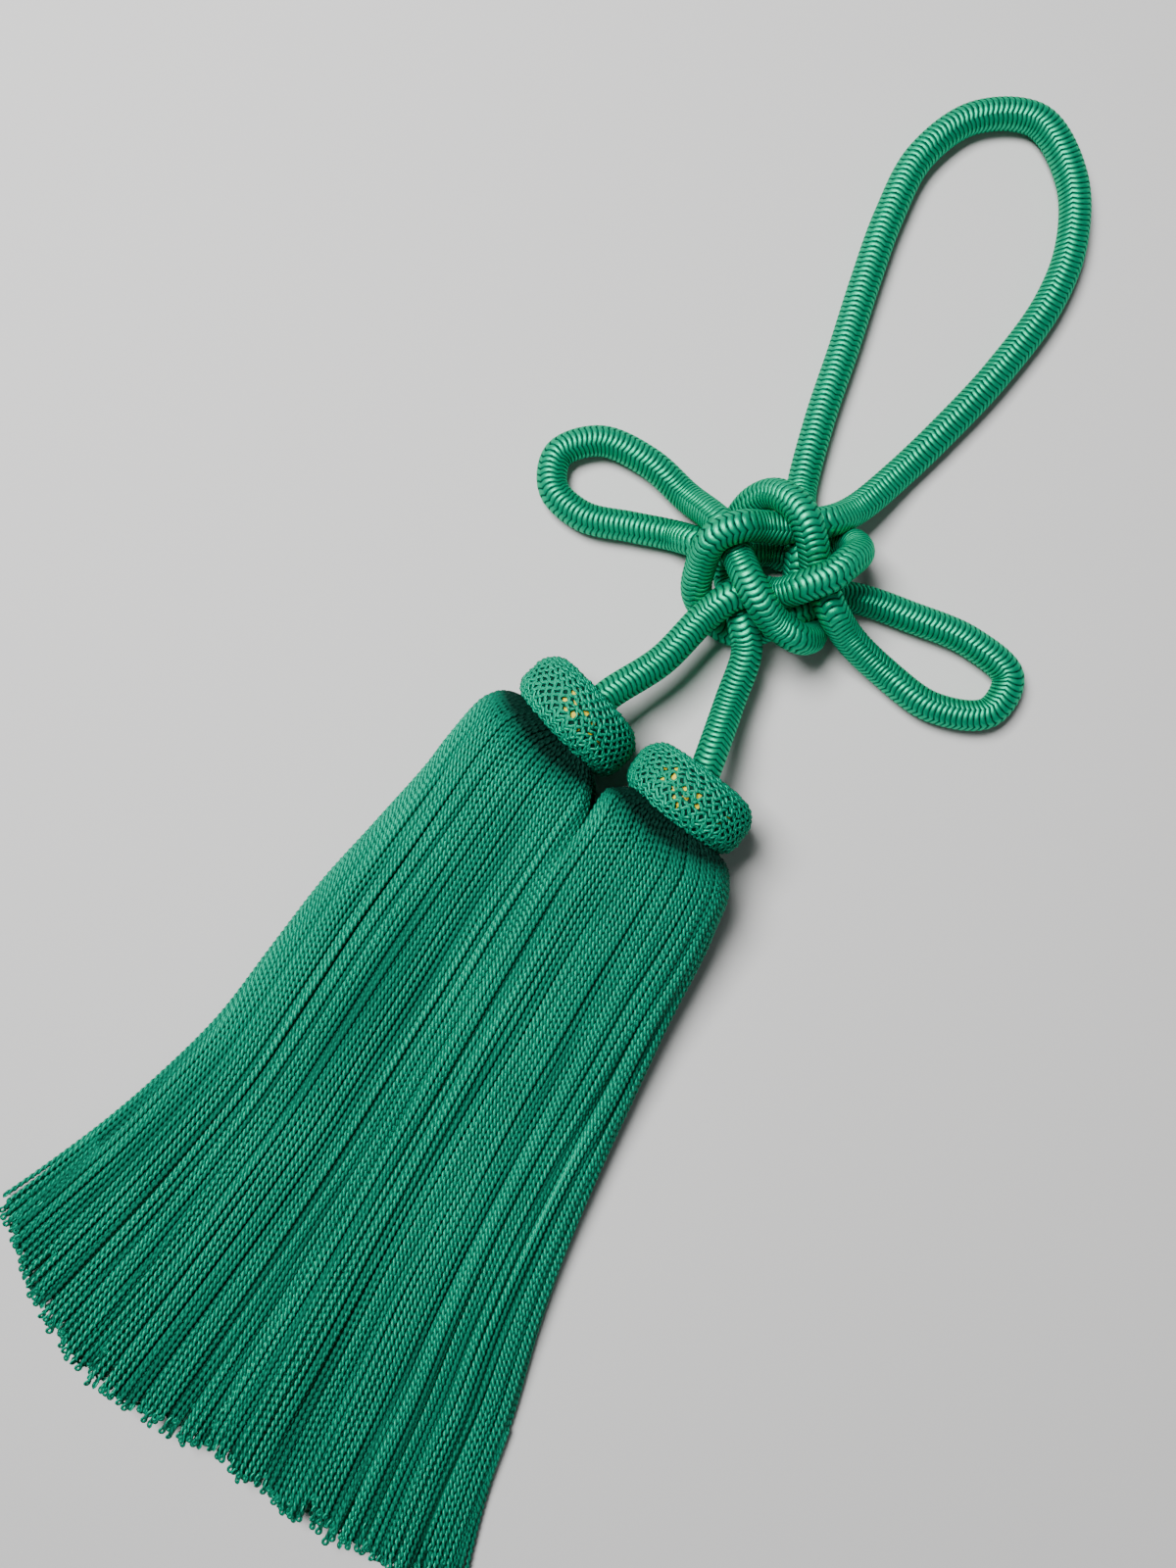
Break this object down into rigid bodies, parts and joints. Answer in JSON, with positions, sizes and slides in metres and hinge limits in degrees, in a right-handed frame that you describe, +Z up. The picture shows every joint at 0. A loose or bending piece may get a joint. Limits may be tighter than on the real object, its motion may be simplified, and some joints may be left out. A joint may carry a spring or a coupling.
{
  "type": "knotted tassel",
  "caption": "Knotted tassel with a long hanging loop and ear loops at a woven cord knot, and flat crocheted heads over full skirts of twisted strands, for hanging as an ornament.",
  "frame": {"origin": "bottom centre of the box around the two heads and their skirts, on the surface that the tassel lies on; the cord is left out of that box", "axes": "+Y along the tassel from the skirts' hem towards the hanging loop, +Z up from the surface, +X across towards the right-hand tassel as seen from above"},
  "size_m": [0.125, 0.3203, 0.0264],
  "materials": {
    "braided_cord": "satin braid",
    "crochet_thread": "satin crochet",
    "yellow_bead": "painted, matt",
    "twisted_strand": "satin twisted thread"
  },
  "bodies": {
    "root": {"knotted_cord": "braided_cord", "left_head_cover": "crochet_thread", "left_head_bead": "yellow_bead", "right_head_cover": "crochet_thread", "right_head_bead": "yellow_bead", "left_skirt": "twisted_strand", "right_skirt": "twisted_strand"}
  },
  "joints": []
}
